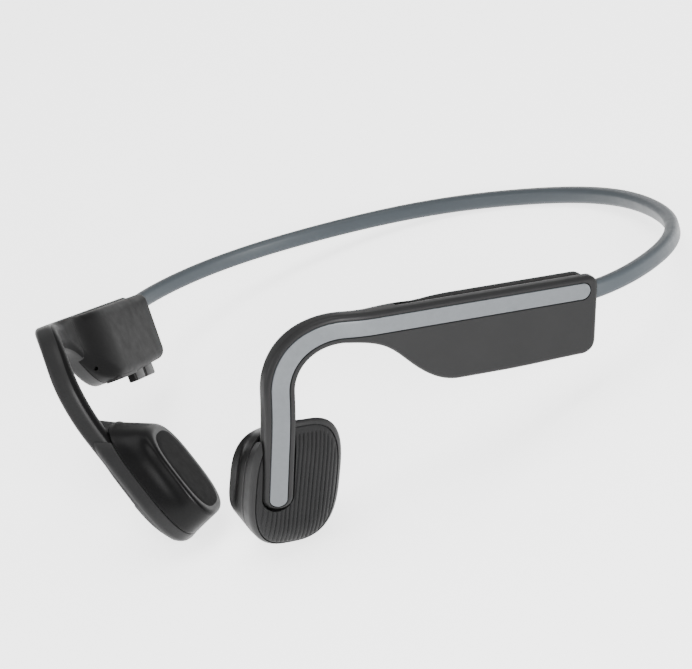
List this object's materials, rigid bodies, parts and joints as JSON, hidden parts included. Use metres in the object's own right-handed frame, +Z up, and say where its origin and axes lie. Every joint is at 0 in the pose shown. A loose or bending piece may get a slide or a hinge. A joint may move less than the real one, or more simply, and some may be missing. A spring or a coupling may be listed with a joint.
{
  "type": "bone conduction headphones",
  "caption": "Neckband headset whose pads press on the cheekbones ahead of the ears: slim pods, ear hooks and ribbed transducers on a springy band behind the head.",
  "frame": {"origin": "centre of the bounding box at the level of the table the headset rests on", "axes": "+X towards the wearer's left side, -Y the front of the head, +Y the back of the neckband, +Z up"},
  "size_m": [0.1328, 0.1164, 0.043],
  "materials": {
    "shell": "fine matt texture",
    "soft": "soft-touch silicone",
    "band": "smooth satin silicone",
    "strip": "satin",
    "rubber": "matt",
    "steel": "plain",
    "magnet": "nickel plated",
    "copper": "enamelled copper",
    "titanium": "drawn alloy wire",
    "board": "solder mask",
    "battery": "foil pouch",
    "foam": "foam",
    "clear": "translucent"
  },
  "bodies": {
    "neckband": {"band_sleeve": "band", "band_core_wire": "titanium", "band_cable": "copper"},
    "left_side": {"left_outer_shell": "shell", "left_inner_shell": "shell", "left_accent_strip": "strip", "left_arm_lead": "copper", "left_transducer_cover": "shell", "left_transducer_housing": "soft", "left_contact_pad": "soft", "left_vibration_plate": "steel", "left_voice_coil": "copper", "left_magnet": "magnet", "left_yoke": "steel", "battery": "battery", "battery_pad": "foam", "protection_board": "board", "multifunction_switch": "steel"},
    "right_side": {"right_outer_shell": "shell", "right_inner_shell": "shell", "right_accent_strip": "strip", "right_arm_lead": "copper", "right_transducer_cover": "shell", "right_transducer_housing": "soft", "right_contact_pad": "soft", "right_vibration_plate": "steel", "right_voice_coil": "copper", "right_magnet": "magnet", "right_yoke": "steel", "right_ribbed_plate": "shell", "main_board": "board", "radio_shield": "steel", "usb_receptacle": "steel", "microphone": "steel", "status_light_pipe": "clear", "volume_up_switch": "steel", "volume_down_switch": "steel"},
    "multifunction_button": {"multifunction_button": "shell"},
    "volume_up_button": {"volume_up_button": "soft"},
    "volume_down_button": {"volume_down_button": "soft"},
    "usb_cover": {"usb_cover": "rubber"}
  },
  "joints": [
    {"name": "left_band_flex", "type": "hinge", "parent": "neckband", "child": "left_side", "pos_m": [0.04, 0.04077, 0.0062], "axis": [0, 0.2692, 0.9631], "range_deg": [-2, 40], "stiffness_Nm_per_rad": 0.13, "deforming": ["band_sleeve", "band_core_wire", "band_cable"]},
    {"name": "right_band_flex", "type": "hinge", "parent": "neckband", "child": "right_side", "pos_m": [-0.04, 0.04077, 0.0062], "axis": [0, -0.2692, -0.9631], "range_deg": [-2, 40], "stiffness_Nm_per_rad": 0.13, "deforming": ["band_sleeve", "band_core_wire", "band_cable"]},
    {"name": "multifunction_press", "type": "slide", "parent": "left_side", "child": "multifunction_button", "axis": [-0.7555, 0.5901, 0.2846], "range_m": [0, 0.00035], "stiffness_N_per_m": 200, "springref_m": -0.001},
    {"name": "volume_up_press", "type": "slide", "parent": "right_side", "child": "volume_up_button", "axis": [-0.2099, 0.37, 0.905], "range_m": [0, 0.0004], "stiffness_N_per_m": 200, "springref_m": -0.001},
    {"name": "volume_down_press", "type": "slide", "parent": "right_side", "child": "volume_down_button", "axis": [-0.2099, 0.37, 0.905], "range_m": [0, 0.0004], "stiffness_N_per_m": 200, "springref_m": -0.001},
    {"name": "usb_cover_hinge", "type": "hinge", "parent": "right_side", "child": "usb_cover", "pos_m": [-0.04343, -0.02712, 0.01944], "axis": [-0.8669, -0.4985, 0.0027], "range_deg": [0, 105]}
  ]
}
